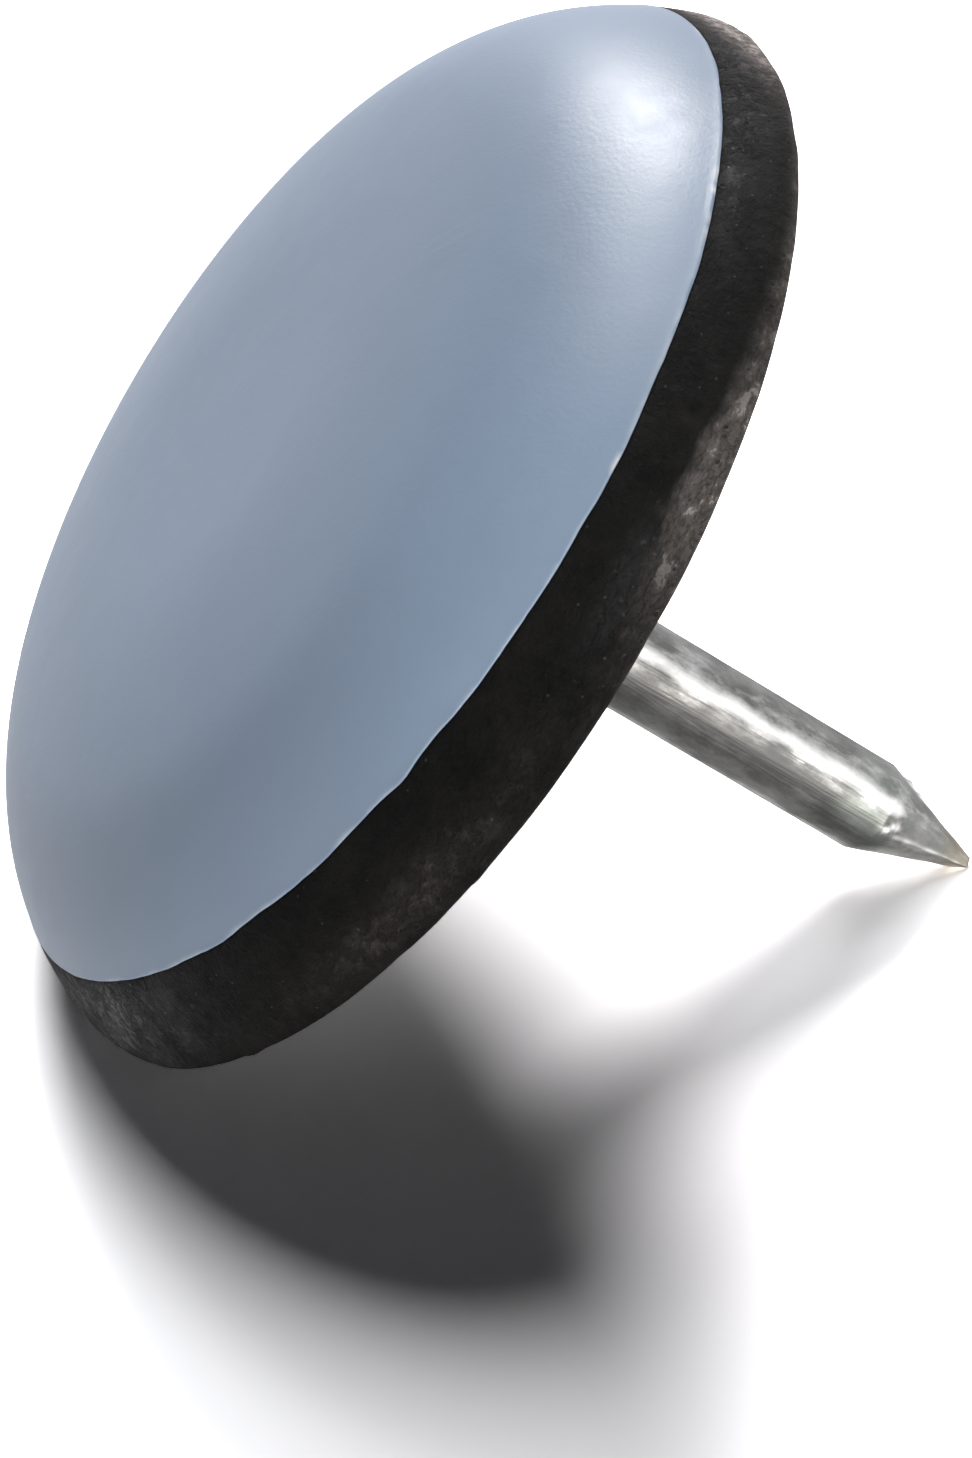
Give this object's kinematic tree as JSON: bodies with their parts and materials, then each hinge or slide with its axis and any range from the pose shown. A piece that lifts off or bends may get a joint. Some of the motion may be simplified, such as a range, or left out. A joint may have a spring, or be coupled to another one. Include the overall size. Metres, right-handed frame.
{
  "type": "nail on furniture glide",
  "caption": "Round domed low-friction cap on a moulded rubber cushion, with a nail that drives into the end of a furniture leg so that it slides.",
  "frame": {"origin": "centre of the flat land on the sliding face, on the nail's axis, where the glide rests on the floor", "axes": "+Z along the nail towards its point, up into the furniture leg; the sliding face looks down"},
  "size_m": [0.0248, 0.0248, 0.0208],
  "materials": {
    "sliding_cap": "satin moulded PTFE, blue-grey",
    "rubber_cushion": "moulded black rubber with a slight sheen",
    "nail": "bright zinc plate"
  },
  "bodies": {
    "root": {"sliding_cap": "sliding_cap", "rubber_cushion": "rubber_cushion", "nail": "nail"}
  },
  "joints": []
}
